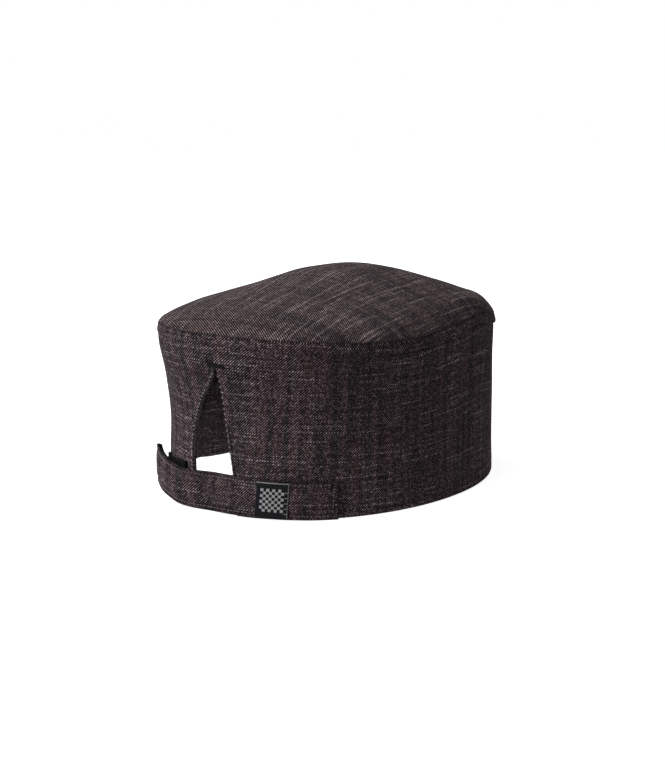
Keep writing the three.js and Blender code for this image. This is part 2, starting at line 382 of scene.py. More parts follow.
def mesh_piece(name, points, faces, uv, material):
    """An object in metres from points in millimetres, faces and each point's place in the weave.
    Points that lie at one place become one."""
    _, first, index = np.unique(np.round(points, 5), axis=0, return_index=True, return_inverse=True)
    index = index.reshape(-1)
    kept, corners = [], []
    for face in faces:
        welded = [index[corner] for corner in face]
        chosen = [k for k in range(len(face)) if welded[k] != welded[k - 1]]
        if len(chosen) > 2:
            kept.append([int(welded[k]) for k in chosen])
            corners.extend(face[k] for k in chosen)
    mesh = bpy.data.meshes.new(name)
    mesh.from_pydata(((points[first] + SHIFT) * MM).tolist(), [], kept)
    weave = mesh.uv_layers.new(name="weave")
    weave.data.foreach_set("uv", uv[corners].astype(np.float32).ravel())
    mesh.polygons.foreach_set("use_smooth", [True] * len(mesh.polygons))
    mesh.materials.append(material)
    mesh.update()
    return put_in_scene(bpy.data.objects.new(name, mesh))


def shell(name, outer, inner, uv, material):
    """A closed cloth body from grids of its outer and inner face, which meet along their edges."""
    columns, rows = outer.shape[:2]
    grid = np.arange(columns * rows).reshape(columns, rows)
    a, b, c, d = grid[:-1, :-1], grid[1:, :-1], grid[1:, 1:], grid[:-1, 1:]
    front = np.stack([a, b, c, d], -1).reshape(-1, 4)
    back = front[:, ::-1] + columns * rows
    points = np.concatenate([outer.reshape(-1, 3), inner.reshape(-1, 3)])
    faces = np.concatenate([front, back]).tolist()
    return mesh_piece(name, points, faces, np.concatenate([uv.reshape(-1, 2)] * 2), material)


# Materials

class Graph:
    """Short calls for building a material's nodes."""

    def __init__(self, name):
        self.material = bpy.data.materials.new(name)
        self.material.use_nodes = True
        self.nodes = self.material.node_tree.nodes
        self.links = self.material.node_tree.links
        self.shader = self.nodes["Principled BSDF"]

    def put(self, socket, value):
        if isinstance(value, bpy.types.NodeSocket):
            self.links.new(value, socket)
        else:
            socket.default_value = value

    def math(self, operation, *values):
        node = self.nodes.new("ShaderNodeMath")
        node.operation = operation
        for socket, value in zip(node.inputs, values):
            self.put(socket, value)
        return node.outputs[0]

    def times(self, first, *others):
        """The product of two or more numbers."""
        for other in others:
            first = self.math("MULTIPLY", first, other)
        return first

    def plus(self, a, b):
        return self.math("ADD", a, b)

    def minus(self, a, b):
        return self.math("SUBTRACT", a, b)

    def over(self, a, b):
        return self.math("DIVIDE", a, b)

    def slope(self, value, factor, start):
        """A value times a factor, plus a start."""
        return self.math("MULTIPLY_ADD", value, factor, start)

    def size(self, value):
        return self.math("ABSOLUTE", value)

    def whole(self, value):
        return self.math("FLOOR", value)

    def wave(self, value, length):
        """A sine of a value, with a wave length."""
        return self.math("SINE", self.times(value, 2 * math.pi / length))

    def arch(self, value):
        """Up from 0 to 1 and down again over each whole step of a value."""
        return self.math("SINE", self.times(self.math("FRACT", value), math.pi))

    def span(self, value, low, high, to_low=0.0, to_high=1.0):
        """A smooth step of a value from one range to another."""
        node = self.nodes.new("ShaderNodeMapRange")
        node.interpolation_type = "SMOOTHSTEP"
        for key, number in zip(("Value", "From Min", "From Max", "To Min", "To Max"),
                               (value, low, high, to_low, to_high)):
            self.put(node.inputs[key], number)
        return node.outputs[0]

    def place(self, x, y, z=0.0):
        node = self.nodes.new("ShaderNodeCombineXYZ")
        for socket, value in zip(node.inputs, (x, y, z)):
            self.put(socket, value)
        return node.outputs[0]

    def noise(self, x, y, z=0.0, detail=1.0):
        """Noise around 0.5 at a place."""
        node = self.nodes.new("ShaderNodeTexNoise")
        node.inputs["Scale"].default_value = 1.0
        node.inputs["Detail"].default_value = detail
        self.links.new(self.place(x, y, z), node.inputs["Vector"])
        return node.outputs[0]

    def dice(self, x, y):
        """An own random number from 0 to 1 for each pair of whole numbers."""
        node = self.nodes.new("ShaderNodeTexWhiteNoise")
        node.noise_dimensions = "2D"
        self.links.new(self.place(x, y), node.inputs["Vector"])
        return node.outputs[0]

    def mix(self, share, a, b, kind="MIX"):
        node = self.nodes.new("ShaderNodeMix")
        node.data_type = "RGBA"
        node.blend_type = kind
        self.put(node.inputs[0], share)
        self.put(node.inputs[6], (*a, 1) if isinstance(a, tuple) else a)
        self.put(node.inputs[7], (*b, 1) if isinstance(b, tuple) else b)
        return node.outputs[2]

    def shade(self, color, amount):
        """A colour made lighter or darker by a number."""
        grey = self.nodes.new("ShaderNodeCombineColor")
        for socket in grey.inputs:
            self.put(socket, amount)
        return self.mix(1.0, color, grey.outputs[0], "MULTIPLY")

    def weave(self):
        """The place in the weave, in millimetres."""
        uv = self.nodes.new("ShaderNodeUVMap")
        uv.uv_map = "weave"
        node = self.nodes.new("ShaderNodeSeparateXYZ")
        self.links.new(uv.outputs[0], node.inputs[0])
        return node.outputs[0], node.outputs[1]

    def bump(self, height, depth, strength):
        """Relief from a height, with a depth in millimetres."""
        node = self.nodes.new("ShaderNodeBump")
        node.inputs["Distance"].default_value = depth * MM
        node.inputs["Strength"].default_value = strength
        self.links.new(height, node.inputs["Height"])
        self.links.new(node.outputs[0], self.shader.inputs["Normal"])

    def finish(self, color, roughness, sheen=0.0, sheen_roughness=0.5, sheen_tint=(1, 1, 1)):
        self.put(self.shader.inputs["Base Color"], (*color, 1) if isinstance(color, tuple) else color)
        self.put(self.shader.inputs["Roughness"], roughness)
        self.shader.inputs["Specular IOR Level"].default_value = CLOTH_SPECULAR
        self.shader.inputs["IOR"].default_value = CLOTH_IOR
        self.shader.inputs["Sheen Weight"].default_value = sheen
        self.shader.inputs["Sheen Roughness"].default_value = sheen_roughness
        self.shader.inputs["Sheen Tint"].default_value = (*sheen_tint, 1)
        return self.material


def twill(name, plum, blue, light, seed, warp_pitch=THREAD, weft_pitch=THREAD, streaks=0.22,
          streak_width=3.2, flecks=1.8, slubs=0.61, slub_length=30.0, slub_flecks=1.2, slub_shine=2.1,
          hem=None):
    """Cross-dyed slub twill: dark warps in plum and blue-grey streaks, light wefts that show in flecks
    along rising diagonals, and thick bright stretches in some wefts, the slubs. Each thread is darker
    towards its sides, painted shade between the threads. Streaks and flecks are the strength of each,
    slubs is the level of noise from which a slub shows, and hem is the half length and half width of a
    strip whose edges are darker, painted shade of its folded edges together with darker warp dye there."""
    g = Graph(name)
    x, y = g.weave()

    # Steps of the twill: a weft lies over one warp in three, and a little further on in each row
    across, up = g.over(x, warp_pitch), g.over(y, weft_pitch)
    warp, weft = g.whole(across), g.whole(up)
    step = g.minus(across, g.slope(weft, 0.7, g.times(up, 0.3)))
    weft_on_top = g.span(g.math("COSINE", g.times(step, 2 * math.pi / 3)), 0.0, 0.95)
    # Each thread arches from 0 at its sides to 1 in its middle: this raises the relief, and darkens the
    # colour towards each thread's sides as painted shade between the threads
    round_warp, round_weft = g.arch(across), g.arch(up)

    # Warps: streaks of two dyes, each thread with its own tone, and painted shade towards its sides
    streak = g.noise(g.over(x, streak_width), g.over(y, 110.0), seed, 2.0)
    streak_light = g.span(streak, 0.32, 0.68, 1 + streaks, 1 - streaks)
    own_warp = g.noise(g.times(warp, 0.83), g.over(y, 45.0), seed + 3)
    cloud = g.noise(g.over(x, 32.0), g.over(y, 26.0), seed + 7, 2.0)
    cloud_light = g.span(cloud, 0.3, 0.7, 0.8, 1.2)
    warp_color = g.mix(g.span(streak, 0.44, 0.62), plum, blue)
    warp_light = g.times(g.span(own_warp, 0.3, 0.7, 0.6, 1.45), cloud_light, streak_light)
    # Painted shade: each warp darker towards its sides
    warp_light = g.times(warp_light, g.slope(round_warp, 0.7, 0.45))

    # Wefts: each thread with its own tone, a random fleck at each crossing, slubs, and painted shade
    # towards each thread's sides
    own_weft = g.noise(g.over(x, 60.0), g.times(weft, 2.71), seed + 11)
    slub = g.noise(g.over(x, slub_length), g.times(weft, 3.7), seed + 17, 0.5)
    chance = g.dice(g.whole(g.slope(step, 1 / 3, 0.5)), weft)
    fleck = g.times(chance, chance)
    weft_light = g.times(g.span(own_weft, 0.3, 0.7, 0.65, 1.25), g.slope(fleck, flecks, 1 - flecks / 3))
    slub_light = g.span(slub, slubs, slubs + 0.12, 0.0, slub_shine)
    slub_light = g.times(slub_light, g.slope(fleck, slub_flecks, 0.9 - slub_flecks / 3))
    # Painted shade: each weft darker towards its sides
    weft_light = g.times(g.plus(weft_light, slub_light), streak_light, g.slope(round_weft, 0.6, 0.35))

    color = g.mix(weft_on_top, g.shade(warp_color, warp_light), g.shade(light, weft_light))
    # Painted shade of the strip's folded edges, partly darker warp dye: the colour darkens within 1.7 mm
    # of its ends and sides
    if hem:
        from_end = g.minus(hem[0], g.size(x))
        from_side = g.minus(hem[1], g.size(y))
        color = g.shade(color, g.span(g.math("MINIMUM", from_end, from_side), 0.5, 1.7, 0.5, 1.0))
    weft_height = g.times(weft_on_top, round_warp, round_weft)
    warp_height = g.times(g.minus(1.0, weft_on_top), round_warp, 0.8)
    slub_height = g.span(slub, 0.58, 0.75, 0.0, 0.5)
    g.bump(g.plus(g.plus(weft_height, warp_height), slub_height), depth=0.12, strength=0.4)
    roughness = g.span(cloud, 0.3, 0.7, 0.85, 1.0)
    return g.finish(color, roughness, sheen=0.012, sheen_roughness=0.4, sheen_tint=(0.9, 0.86, 0.86))


def label_weave():
    """Black woven label with a painted highlight along its top and right edges, painted light and shade
    of its ribs, and a field of small light checks.
    """
    g = Graph("label_weave")
    x, y = g.weave()
    # Ribs of the weave: their relief, and painted light and shade of the ribs on the colour
    rib_relief_and_shade = g.slope(g.times(g.wave(y, 0.42), g.wave(x, 0.3)), 0.25, 1.0)
    cells = g.plus(g.whole(g.over(x, CHECK)), g.whole(g.over(y, CHECK)))
    odd = g.math("GREATER_THAN", g.math("FRACT", g.times(cells, 0.5)), 0.25)
    from_middle = g.math("MAXIMUM", g.size(x), g.size(y))
    lit = g.times(odd, g.math("LESS_THAN", from_middle, CHECKS_IN_HALF * CHECK))
    worn = g.noise(g.times(x, 1.3), g.times(y, 1.3), 2.0, 3.0)
    # Painted highlight along the label's top and right edges
    at_end = g.math("GREATER_THAN", x, LABEL_WIDTH / 2 - EDGE_HIGHLIGHT_WIDTH)
    at_top = g.math("GREATER_THAN", y, LABEL_HEIGHT / 2 - EDGE_HIGHLIGHT_WIDTH)
    edge_highlight = g.times(g.math("MAXIMUM", at_end, at_top), g.span(worn, 0.35, 0.6, 0.25, 0.75))
    black = g.mix(g.span(worn, 0.3, 0.7), (0.009, 0.009, 0.011), (0.02, 0.021, 0.024))
    color = g.mix(g.math("MAXIMUM", lit, edge_highlight), black, (0.42, 0.42, 0.43))
    g.bump(g.slope(lit, 0.7, rib_relief_and_shade), depth=0.1, strength=0.8)
    # The colour carries painted light and shade of the ribs
    return g.finish(g.shade(color, rib_relief_and_shade), g.span(worn, 0.3, 0.7, 0.65, 0.85), sheen=0.1)


def pile_tape(name, pitch):
    """Black fastening tape with a fine pile or hooks in rows."""
    g = Graph(name)
    x, y = g.weave()
    pile = g.noise(g.over(x, pitch), g.over(y, pitch), 5.0, 3.0)
    color = g.mix(g.span(pile, 0.35, 0.7), (0.004, 0.004, 0.005), (0.016, 0.015, 0.017))
    g.bump(g.slope(g.wave(x, 1.1), 0.25, pile), depth=0.4, strength=1.0)
    return g.finish(color, g.span(pile, 0.3, 0.7, 0.8, 1.0), sheen=0.03)


def twisted_thread(name, dark, light):
    """Sewing thread with its twist, its colour going between a dark and a light copy of one colour along
    the twist as painted light and shade of the plies.
    """
    g = Graph(name)
    x, y = g.weave()
    twist = g.wave(g.plus(g.times(x, 3.0), y), 1.0)
    # Painted light and shade of the plies, which is also the relief
    shade = g.span(twist, -0.6, 0.9)
    g.bump(shade, depth=0.05, strength=0.8)
    return g.finish(g.mix(shade, dark, light), g.span(twist, -1.0, 1.0, 0.85, 0.6), sheen=0.15)


# Stitches

def stitches(name, runs, radius, material):
    """Short threads, one for each run: its two ends and the direction that points off the cloth.
    Each is a small tube that rises from the cloth at one end and dives at the other."""
    sides, rings = 7, 6
    points, faces, uv = [], [], []
    for start, end, off in runs:
        start, end, off = np.array(start, float), np.array(end, float), np.array(off, float)
        ahead = end - start
        length = np.linalg.norm(ahead)
        ahead /= length
        off = off - ahead * (off @ ahead)
        off /= np.linalg.norm(off)
        side = np.cross(ahead, off)
        base = len(points)
        for k in range(rings):
            share = k / (rings - 1)
            bow = math.sin(math.pi * share)
            middle = start + ahead * length * share + off * radius * (1.1 * bow - 0.5)
            thick = radius * (0.45 + 0.55 * bow**0.5)
            for s in range(sides):
                angle = 2 * math.pi * s / sides
                points.append(middle + thick * (side * math.cos(angle) + off * math.sin(angle)))
                uv.append((length * share, s / sides))
        for k in range(rings - 1):
            for s in range(sides):
                a, b = base + k * sides + s, base + k * sides + (s + 1) % sides
                faces.append([a, b, b + sides, a + sides])
        faces.append([base + s for s in range(sides)][::-1])
        faces.append([base + (rings - 1) * sides + s for s in range(sides)])
    return mesh_piece(name, np.array(points), faces, np.array(uv), material)


def running(path, off, row):
    """Runs of a row of stitches along a path of points with a direction off the cloth at each."""
    steps = np.linalg.norm(np.diff(path, axis=0), axis=1)
    ways = np.concatenate([[0], np.cumsum(steps)])

    def at(way, values):
        return np.array([np.interp(way, ways, values[:, k]) for k in range(3)])

    count = int(ways[-1] // row.pitch)
    starts = (np.arange(count) + 0.5 * (ways[-1] / row.pitch - count)) * row.pitch
    long = row.pitch - row.gap
    return [(at(s, path), at(s + long, path), at(s + 0.5 * row.pitch, off)) for s in starts]


# The wall

def wall_rows():
    """Heights of the wall's rows as ways up from the rim to the seam, with one at the slit's top."""
    rim = [0, 0.1, 0.35, 0.9, 1.7]
    plain = np.arange(3.0, SLIT_HEIGHT - 1.0, 1.5)
    slit_top = SLIT_HEIGHT + np.array([-0.9, 0, 1.0, 2.5, 4.0, 5.5])
    groove = WALL_HEIGHT - BAND_DEPTH + np.arange(-1.6, 1.61, 0.4)
    seam = WALL_HEIGHT - np.array([3.3, 2.5, 1.7, 0.9, 0.35, 0.1, 0])
    return np.concatenate([rim, plain, slit_top, groove, seam])


def wall_relief(turn, way, z, below_seam):
    """How far the wall's outer face stands off its plain shape."""
    at = wrapped(turn)
    shown = 0.4 + 0.6 * smooth(at, 0, 30) * (1 - 0.4 * smooth(at, 130, 170))
    band = BAND_PROUD * smooth(-below_seam, -BAND_DEPTH - 0.3, -BAND_DEPTH + 1.2)
    band = band * (1 - 0.8 * smooth(-below_seam, -4.2, 0))
    groove = -GROOVE * hill(below_seam, BAND_DEPTH + 0.2, GROOVE_WIDTH)
    pucker = 0.28 * np.exp(-below_seam / 14) * ripple(way / 7.0, below_seam / 16, 4.2)
    soft = waves(WALL_WAVES, way, z)
    for crease_turn, low, high, lean, depth in CREASES:
        middle = crease_turn + lean * (z - low) / (high - low)
        reach = smooth(z, low, low + 12) * (1 - 0.5 * smooth(z, high - 10, high))
        soft = soft - depth * hill(np.mod(turn, 360), middle, CREASE_WIDTH) * reach
    return (band + groove) * shown + pucker + soft * smooth(z, 2, 18)


def wall_cloth(material):
    """The wall as one strip of cloth from the slit's right edge round to its left edge. Both edges
    and the rim are turned hems, and above the slit the two ends are one. Gives the piece, the grids of
    its outer and inner points, and the places of their columns along the strip."""
    edges = [0, 0.12, 0.4, 0.9, 1.4, 1.9, 2.3, 2.7, 3.2, 3.9, 4.6, 5.4]
    places = spaced(WALL_LENGTH, 1.65, edges)
    from_edge = np.minimum(places, WALL_LENGTH - places)
    left_side = places > WALL_LENGTH / 2
    rows = wall_rows()
    fine_turns, warps = ways_round(lambda turn: 0.5 * seam_height(turn))
    outer, inner, uv = (np.zeros((len(places), len(rows), n)) for n in (3, 3, 2))
    for j, up in enumerate(rows):

        def z_at(turn):
            return blend(rim_height(turn), seam_height(turn), up / WALL_HEIGHT)

        # Where the columns cross this row, moved aside by the slit
        turns, ways = ways_round(z_at)
        to_right, to_left = slit_ways(turns, ways, up) if up < SLIT_HEIGHT else (0.0, 0.0)
        low = smooth(CURL_HEIGHT - up, 0, CURL_HEIGHT)
        curl_tip = CURL_TIP * smooth(SLIT_HEIGHT - up, 0, 34) + LOW_TIP * low
        to_left = max(to_left - curl_tip, 0.0)
        total = ways[-1]
        even = places / WALL_LENGTH * total
        way = even + to_right * (1 - smooth(even, 0, SLIT_SPREAD))
        way -= to_left * (1 - smooth(total - even, 0, SLIT_SPREAD))
        turn = np.interp(way, ways, turns)
        z = z_at(turn)

        # Hems, curl, rounded edges and relief
        opened = smooth(SLIT_HEIGHT - up, 0, 12)
        hem = (1 - smooth(from_edge, HEM_WIDTH - 0.9, HEM_WIDTH + 0.3)) * opened
        curl = np.where(left_side, np.clip(1 - from_edge / CURL_REACH, 0, 1) ** 2, 0) * opened
        curl_depth = CURL_DEPTH * low * curl
        thickness = CLOTH + HEM_EXTRA * hem
        round_up = min(float(round_edge(up, EDGE_ROUND)), float(round_edge(WALL_HEIGHT - up, SEAM_ROUND)))
        round_side = round_edge(from_edge, HEM_ROUND) if up <= SLIT_HEIGHT else 1.0
        full = round_up * round_side
        relief = wall_relief(turn, places, z, seam_height(turn) - z) * full
        relief += HEM_SWELL * hem - HEM_DITCH * hill(from_edge, HEM_WIDTH + 0.3, 1.1) * opened
        fold = hill(from_edge, FOLD_LINE, 1.3) * ~left_side
        relief -= FOLD_DEPTH * fold * smooth(SLIT_HEIGHT - up, 12, 40)

        # Both faces, and the weave carried on over their edges
        middle = -0.5 * thickness - curl_depth
        outer[:, j] = wall_point(turn, z, middle + (0.5 * thickness + relief) * full)
        inner[:, j] = wall_point(turn, z, middle - (0.5 * thickness - 0.6 * relief) * full)
        past_edge = 0.5 * thickness * (1 - round_side) + curl_depth
        past_rim = 0.5 * CLOTH * (1 - round_up)
        u = np.interp(turn, fine_turns, warps) + np.where(left_side, past_edge, -past_edge)
        uv[:, j] = np.stack([u, np.full(len(places), up - past_rim)], -1)
    return shell("side_band_cloth", outer, inner, uv, material), outer, inner, places


# The crown

def crown_cloth(material):
    """The top panel, from the seam to its middle, as one domed sheet of cloth."""
    near_seam = np.array([0, 0.001, 0.0035, 0.0075, 0.014, 0.024])
    inwards = np.concatenate([near_seam, np.linspace(0.036, 1, 56)])
    turn, inwards = np.meshgrid(np.linspace(0, 360, 341), inwards, indexing="ij")
    out = 1 - inwards
    middle = np.array([0, SEAM_FORWARD])
    reach = np.linalg.norm(wall_outline(turn, 1.0) - middle, axis=-1)
    from_seam = reach * inwards
    full = round_edge(from_seam, SEAM_ROUND)
    off = wrapped(turn - PUFF_TURN)
    seam = blend(WALL_HEIGHT, seam_height(turn), out**2)
    lean = CROWN_LEAN * np.cos(np.radians(off)) * 4 * out * inwards
    puff = CROWN_PUFF * np.exp(-((off / PUFF_REACH) ** 2)) * along(CROWN_PUFFS, out)
    top = seam + CLEARANCE + CROWN_RISE * along(CROWN_HEIGHT, out) + lean + puff
    faces = []
    for side, under in ((1, SEAM_ROUND * (1 - full)), (-1, CLOTH * (1 - out**8))):
        plan = wall_offset(turn, 1.0, 0.5 * CLOTH * (side * full - 1))
        plan = (plan - middle) * out[..., None] + middle
        pucker = 0.3 * np.exp(-from_seam / 12) * full * ripple(turn / 4.5, from_seam / 15, 7.7)
        soft = smooth(from_seam, 3, 30) * waves(CROWN_WAVES, plan[..., 0], plan[..., 1])
        z = top + pucker + soft - under
        faces.append(np.concatenate([plan, z[..., None]], -1))
    outer, inner = faces
    edge = 0.5 * (outer[:, :1] + inner[:, :1])
    outer[:, :1] = inner[:, :1] = edge
    outer[-1], inner[-1] = outer[0], inner[0]

    # The weave, laid flat by each point's way from the middle over the dome
    steps = np.linalg.norm(np.diff(outer[:, ::-1], axis=1), axis=-1)
    from_middle = np.pad(np.cumsum(steps, axis=1), ((0, 0), (1, 0)))[:, ::-1]
    aim = wall_outline(turn, 1.0) - middle
    flat = from_middle[..., None] * aim / np.linalg.norm(aim, axis=-1, keepdims=True)
    uv = np.stack([flat[..., 1], -flat[..., 0]], -1)
    return shell("crown_top_cloth", outer, inner, uv, material)


# Strap, tapes and label

STRAP_MIDDLE = STRAP_ABOVE_RIM + STRAP_WIDTH / 2
PATCH_MIDDLE = STRAP_MIDDLE + PATCH_ABOVE_STRAP
HOOK_STANDOFF = CLEARANCE + TAPE + CLEARANCE + STRAP_SLACK
STRAP_STANDOFF = HOOK_STANDOFF + TAPE + CLEARANCE


def lifted(way):
    """How far the strap has lifted off the wall: not at all where it is sewn, fully over the tapes."""
    return smooth(-np.asarray(way, float), 0, PATCH_START)


def strap_standoff(way):
    return blend(CLEARANCE, STRAP_STANDOFF, lifted(way))


def turn_along(way, z):
    """Turn of the point a given way along the wall from the back, to the right if positive."""
    turns, ways = level_ways(z)
    return np.where(way < 0, np.interp(ways[-1] + way, ways, turns) - 360, np.interp(way, ways, turns))


def strip_points(way, up, middle, standoff, upright):
    """Points of a strip bent round the wall, by way along it and height over its middle line."""
    turn = turn_along(way, middle)
    shift = rim_height(turn) - STRAP_ABOVE_RIM * smooth(way, 0, STRAP_RIGHT)
    z = middle + up + shift
    seat = blend(z, middle, upright)
    point = wall_point(turn, seat, standoff)
    point[..., 2] = z
    return point


def strip(name, start, end, middle, width, thickness, standoff, upright, relief, material, step=1.5,
          turned_in=lambda way: 0 * way, rise=lambda way, up: 0 * way):
    """A rounded strip of cloth or tape. The functions take ways along it, and relief and rise heights too:
    turned_in thickens its inner face, and rise moves places up."""
    edges = [0, 0.08, 0.3, 0.7, 1.3]
    ways = start + spaced(end - start, step, edges)
    ups = spaced(width, 0.7, edges) - width / 2
    way, up = np.meshgrid(ways, ups, indexing="ij")
    radius = 0.5 * thickness
    from_end = np.minimum(way - start, end - way)
    from_side = width / 2 - np.abs(up)
    round_end, round_side = round_edge(from_end, radius), round_edge(from_side, radius)
    full = round_end * round_side
    middle_off = standoff(way) + radius
    raised = relief(way, up) * full
    shown = up + rise(way, up)
    outer = strip_points(way, shown, middle, middle_off + radius * full + raised, upright(way))
    inner = strip_points(way, shown, middle, middle_off - (radius + turned_in(way)) * full, upright(way))
    from_middle = way - (start + end) / 2
    past_end = (radius + 0.5 * turned_in(way)) * (1 - round_end)
    past_side = radius * (1 - round_side)
    uv = np.stack([from_middle + np.sign(from_middle) * past_end, up + np.sign(up) * past_side], -1)
    return shell(name, outer, inner, uv, material)


def strap_relief(way, up):
    """Stitched channels near the strap's edges, and the soft swell between them."""
    from_side = STRAP_WIDTH / 2 - np.abs(up)
    from_end = STRAP_RIGHT - way
    channels = hill(from_side, STITCH_INSET, 1.5) * (from_end > 2.5)
    channels = channels + hill(from_end, END_INSET, 1.6) * (from_side > 2.5)
    channels = channels + hill(way + STRAP_LEFT, 2.6, 1.3)
    swell = 0.25 * smooth(from_side, 2.5, 6)
    return swell - 0.7 * channels + waves(STRAP_WAVES, way, up)


def strap_cloth(material):
    """The strap, with its free end turned in."""
    def turned_in(way):
        return STRAP_TURNED_IN * (1 - smooth(way, 2.2 - STRAP_LEFT, 2.7 - STRAP_LEFT))

    return strip("strap_cloth", -STRAP_LEFT, STRAP_RIGHT, STRAP_MIDDLE, STRAP_WIDTH, STRAP_CLOTH,
                 strap_standoff, lifted, strap_relief, material, turned_in=turned_in)


def label_cloth(material):
    """The label on the strap's outer face."""
    def standoff(way):
        return strap_standoff(way) + STRAP_CLOTH + CLEARANCE

    def relief(way, up):
        return 0.1 * ripple(way / 5.0, up / 6.0, 3.3)

    return strip("label_cloth", LABEL_START, LABEL_START + LABEL_WIDTH, STRAP_MIDDLE, LABEL_HEIGHT,
                 LABEL_CLOTH, standoff, lifted, relief, material, step=0.8)


def hook_tape_cloth(material):
    """The hook tape inside the strap's free end."""
    def standoff(way):
        return HOOK_STANDOFF + 0 * way

    def relief(way, up):
        return 0.08 * ripple(way, up, 5.3)

    return strip("hook_tape_cloth", -HOOK_START - HOOK_LENGTH, -HOOK_START, STRAP_MIDDLE, HOOK_WIDTH,
                 TAPE, standoff, lifted, relief, material, step=1.0)


def loop_patch_cloth(material):
    """The loop tape on the wall, which sags at its far top corner."""
    def standoff(way):
        return CLEARANCE + 0 * way

    def leaning(way):
        return 0 * way

    def relief(way, up):
        return 0.14 * ripple(way / 0.9, up / 0.9, 8.3)

    def rise(way, up):
        return -PATCH_SAG * smooth(-way, 24, 42) * smooth(up, -4, PATCH_WIDTH / 2)

    return strip("loop_patch_cloth", -PATCH_START - PATCH_LENGTH, -PATCH_START, PATCH_MIDDLE, PATCH_WIDTH,
                 TAPE, standoff, leaning, relief, material, step=0.8, rise=rise)


# Stitches on the strap and label

def strap_path(ways, up, raised):
    """Points on the strap's outer face and directions off it, for a row of stitches."""
    ways, up = np.broadcast_arrays(np.asarray(ways, float), np.asarray(up, float))
    off = strap_standoff(ways) + STRAP_CLOTH + raised
    points = strip_points(ways, up, STRAP_MIDDLE, off, lifted(ways))
    beyond = strip_points(ways, up, STRAP_MIDDLE, off + 1.0, lifted(ways))
    return points, beyond - points


def strap_stitches(material):
    """Rows along both edges of the strap and across its sewn end."""
    long_way = np.arange(-STRAP_LEFT + 2.5, STRAP_RIGHT - 2.9, 0.75)
    runs = []
    for side in (-1, 1):
        up = side * (STRAP_WIDTH / 2 - STITCH_INSET)
        runs += running(*strap_path(long_way, up, strap_relief(long_way, up) + 0.2), STRAP_SIDE_ROW)
    across = np.arange(-STRAP_WIDTH / 2 + 2.5, STRAP_WIDTH / 2 - 2.4, 0.5)
    way = STRAP_RIGHT - END_INSET
    runs += running(*strap_path(way, across, strap_relief(way, across) + 0.05), STRAP_END_ROW)
    return stitches("strap_stitches", runs, STRAP_THREAD, material)


def label_stitches(material):
    """Short light threads over the label's right edge."""
    runs = []
    for up in np.linspace(LABEL_THREADS_LOW, LABEL_THREADS_HIGH, LABEL_THREADS):
        way = LABEL_START + LABEL_WIDTH - np.array([LABEL_THREAD_REACH, 0.1])
        points, off = strap_path(way, up, CLEARANCE + LABEL_CLOTH + 0.1)
        runs.append((points[0], points[1], off[0]))
    return stitches("label_stitches", runs, LABEL_THREAD, material)


# Stitches on the wall

def wall_path(turn, z, raised):
    """Points off the wall and directions off it, for a row of stitches."""
    points = wall_point(turn, z, raised)
    return points, wall_point(turn, z, np.asarray(raised) + 1.0) - points


def seam_stitches(material):
    """The row under the seam, all round."""
    turn = np.arange(0, 360.1, 0.6)
    z = seam_height(turn) - BAND_DEPTH - 0.2
    fine_turns, ways = ways_round(lambda t: seam_height(t) - BAND_DEPTH)
    way = np.interp(turn, fine_turns, ways)
    raised = wall_relief(turn, way / way[-1] * WALL_LENGTH, z, seam_height(turn) - z) + 0.05
    runs = running(*wall_path(turn, z, raised), SEAM_ROW)
    return stitches("seam_stitches", runs, SEAM_THREAD, material)


def ditch_stitches(material):
    """The thread in the seam itself, all round: a darker row sunk in the seam, painted shade of the seam's
    ditch in dashes.
    """
    turn = np.arange(0, 360.1, 0.6)
    path = wall_path(turn, seam_height(turn) + 0.5 * CLEARANCE, np.full_like(turn, -DITCH_SUNK))
    return stitches("ditch_stitches", running(*path, DITCH_ROW), DITCH_THREAD, material)


def column_path(outer, inner, column):
    """Points down one column of the wall's outer face, from under the slit's top to above the rim's
    rounded edge, and the way to each from the inner face."""
    rim_rows = 3
    last = int(np.argmax(wall_rows() >= SLIT_HEIGHT)) - 1
    rows = slice(rim_rows, last)
    return outer[column, rows][::-1], (outer - inner)[column, rows][::-1]


def slit_stitches(outer, inner, places, material):
    """Small light stitches over both edges of the slit. Those on the left slant towards its edge."""
    right = int(np.argmin(np.abs(places - SLIT_INSET)))
    runs = running(*column_path(outer, inner, right), SLIT_RIGHT_ROW)
    left = int(np.argmin(np.abs(WALL_LENGTH - places - SLIT_INSET)))
    path, off = column_path(outer, inner, left)
    nearer_edge, _ = column_path(outer, inner, left + 1)
    for start, end, out in running(path, off, SLIT_LEFT_ROW):
        near = np.argmin(np.linalg.norm(path - end, axis=1))
        runs.append((start, nearer_edge[near], out))
    return stitches("slit_stitches", runs, SLIT_THREAD, material)


def slit_overcast(outer, inner, places, material):
    """Short threads over the left edge of the slit, seen from its side."""
    edge = int(np.argmin(np.abs(WALL_LENGTH - places - 0.12)))
    path, across = column_path(outer, inner, edge)
    further, further_across = column_path(outer, inner, edge - 4)
    middle = path - 0.5 * across
    off = middle - further + 0.5 * further_across
    runs = []
    for share, row in OVERCAST_ROWS:
        runs += running(middle + share * across, off, row)
    return stitches("slit_overcast", runs, OVERCAST_THREAD, material)


def bar_tack(material):
    """Dense short stitches that close the top of the slit."""
    turn, ways = level_ways(SLIT_HEIGHT + 1)
    runs = []
    for k, x in enumerate(np.arange(-TACK_LEFT, TACK_RIGHT, TACK_PITCH)):
        here = np.interp(abs(x), ways, turn) * (1 if x > 0 else -1)
        level = SLIT_HEIGHT - TACK_DROP * x
        low, high = level + TACK_LOW + 0.2 * (k % 2), level + TACK_HIGH - 0.2 * (k % 3)
        start, off = wall_path(np.array(here), np.array(low), 0.25)
        end, _ = wall_path(np.array(here + 0.15), np.array(high), 0.25)
        runs.append((start, end, off))
    return stitches("slit_bar_tack", runs, TACK_THREAD, material)


# Camera, light and floor

